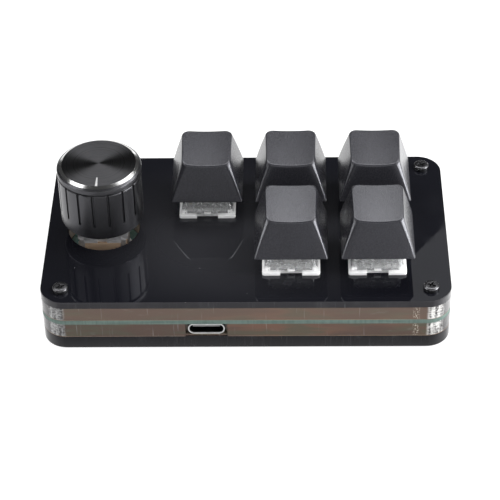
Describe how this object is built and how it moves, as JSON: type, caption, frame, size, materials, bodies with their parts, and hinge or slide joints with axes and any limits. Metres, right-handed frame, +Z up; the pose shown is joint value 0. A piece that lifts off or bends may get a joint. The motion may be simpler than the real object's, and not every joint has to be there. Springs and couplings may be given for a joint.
{
  "type": "macro keypad",
  "caption": "Flat stacked-plate desk keypad with sprung push keys in two rows and a round knob that turns and presses, on rubber feet.",
  "frame": {"origin": "centre of the case's footprint, on the surface that the feet stand on", "axes": "+X to the user's right along the long side, +Y to the back, +Z up"},
  "size_m": [0.1, 0.057, 0.0361],
  "materials": {
    "black_acrylic": "polished gloss",
    "clear_acrylic": "clear, cut edges",
    "kraft_paper": "matte brown paper",
    "teal_board": "bare cut edge",
    "foot_rubber": "matte",
    "nut_steel": "zinc plated",
    "black_screws": "black oxide",
    "plated_steel": "nickel plated",
    "spring_steel": "bright wire",
    "contact_metal": "bright stamped",
    "black_moulding": "moulded",
    "chip_black": "moulded",
    "ceramic_parts": "fired ceramic",
    "tan_moulding": "moulded",
    "zinc_neck": "die cast",
    "milky_housing": "milky moulded",
    "clear_housing": "clear moulded",
    "slider_moulding": "moulded",
    "keycap_black": "fine grain",
    "black_anodised": "black anodised",
    "spun_black": "spun, anodised",
    "white_inlay": "paint fill"
  },
  "bodies": {
    "case": {"bottom_cover": "black_acrylic", "rubber_feet": "foot_rubber", "case_nuts": "nut_steel", "case_screws": "black_screws", "lower_liner": "kraft_paper", "lower_spacer": "clear_acrylic", "pcb": "teal_board", "upper_liner": "kraft_paper", "upper_spacer": "clear_acrylic", "top_plate": "black_acrylic", "usb_shell": "plated_steel", "usb_insulator": "black_moulding", "microcontroller": "chip_black", "crystal": "plated_steel", "voltage_regulator": "chip_black", "board_passives": "ceramic_parts", "encoder_base": "tan_moulding", "encoder_cover": "plated_steel", "encoder_bushing": "zinc_neck", "encoder_terminals": "plated_steel", "encoder_dome": "spring_steel", "switch_1_base": "milky_housing", "switch_1_top": "clear_housing", "switch_1_contacts": "contact_metal", "switch_2_base": "milky_housing", "switch_2_top": "clear_housing", "switch_2_contacts": "contact_metal", "switch_3_base": "milky_housing", "switch_3_top": "clear_housing", "switch_3_contacts": "contact_metal", "switch_4_base": "milky_housing", "switch_4_top": "clear_housing", "switch_4_contacts": "contact_metal", "switch_5_base": "milky_housing", "switch_5_top": "clear_housing", "switch_5_contacts": "contact_metal"},
    "key_1": {"switch_1_slider": "slider_moulding", "keycap_1": "keycap_black", "switch_1_spring": "spring_steel"},
    "key_2": {"switch_2_slider": "slider_moulding", "keycap_2": "keycap_black", "switch_2_spring": "spring_steel"},
    "key_3": {"switch_3_slider": "slider_moulding", "keycap_3": "keycap_black", "switch_3_spring": "spring_steel"},
    "key_4": {"switch_4_slider": "slider_moulding", "keycap_4": "keycap_black", "switch_4_spring": "spring_steel"},
    "key_5": {"switch_5_slider": "slider_moulding", "keycap_5": "keycap_black", "switch_5_spring": "spring_steel"},
    "plunger": {"encoder_plunger": "black_moulding"},
    "knob": {"knob_shaft": "zinc_neck", "knob_shell": "black_anodised", "knob_disc": "spun_black", "knob_pointer": "white_inlay", "knob_core": "black_moulding"}
  },
  "joints": [
    {"name": "key_1_press", "type": "slide", "parent": "case", "child": "key_1", "axis": [0, 0, -1], "range_m": [0, 0.004], "stiffness_N_per_m": 75, "springref_m": -0.004, "deforming": ["switch_1_spring"]},
    {"name": "key_2_press", "type": "slide", "parent": "case", "child": "key_2", "axis": [0, 0, -1], "range_m": [0, 0.004], "stiffness_N_per_m": 75, "springref_m": -0.004, "deforming": ["switch_2_spring"]},
    {"name": "key_3_press", "type": "slide", "parent": "case", "child": "key_3", "axis": [0, 0, -1], "range_m": [0, 0.004], "stiffness_N_per_m": 75, "springref_m": -0.004, "deforming": ["switch_3_spring"]},
    {"name": "key_4_press", "type": "slide", "parent": "case", "child": "key_4", "axis": [0, 0, -1], "range_m": [0, 0.004], "stiffness_N_per_m": 75, "springref_m": -0.004, "deforming": ["switch_4_spring"]},
    {"name": "key_5_press", "type": "slide", "parent": "case", "child": "key_5", "axis": [0, 0, -1], "range_m": [0, 0.004], "stiffness_N_per_m": 75, "springref_m": -0.004, "deforming": ["switch_5_spring"]},
    {"name": "knob_press", "type": "slide", "parent": "case", "child": "plunger", "axis": [0, 0, -1], "range_m": [0, 0.0005], "stiffness_N_per_m": 2000, "springref_m": -0.0005, "deforming": ["encoder_dome"]},
    {"name": "knob_turn", "type": "hinge", "parent": "plunger", "child": "knob", "pos_m": [-0.036, 0.0002, 0.028], "axis": [0, 0, 1], "continuous": true}
  ]
}
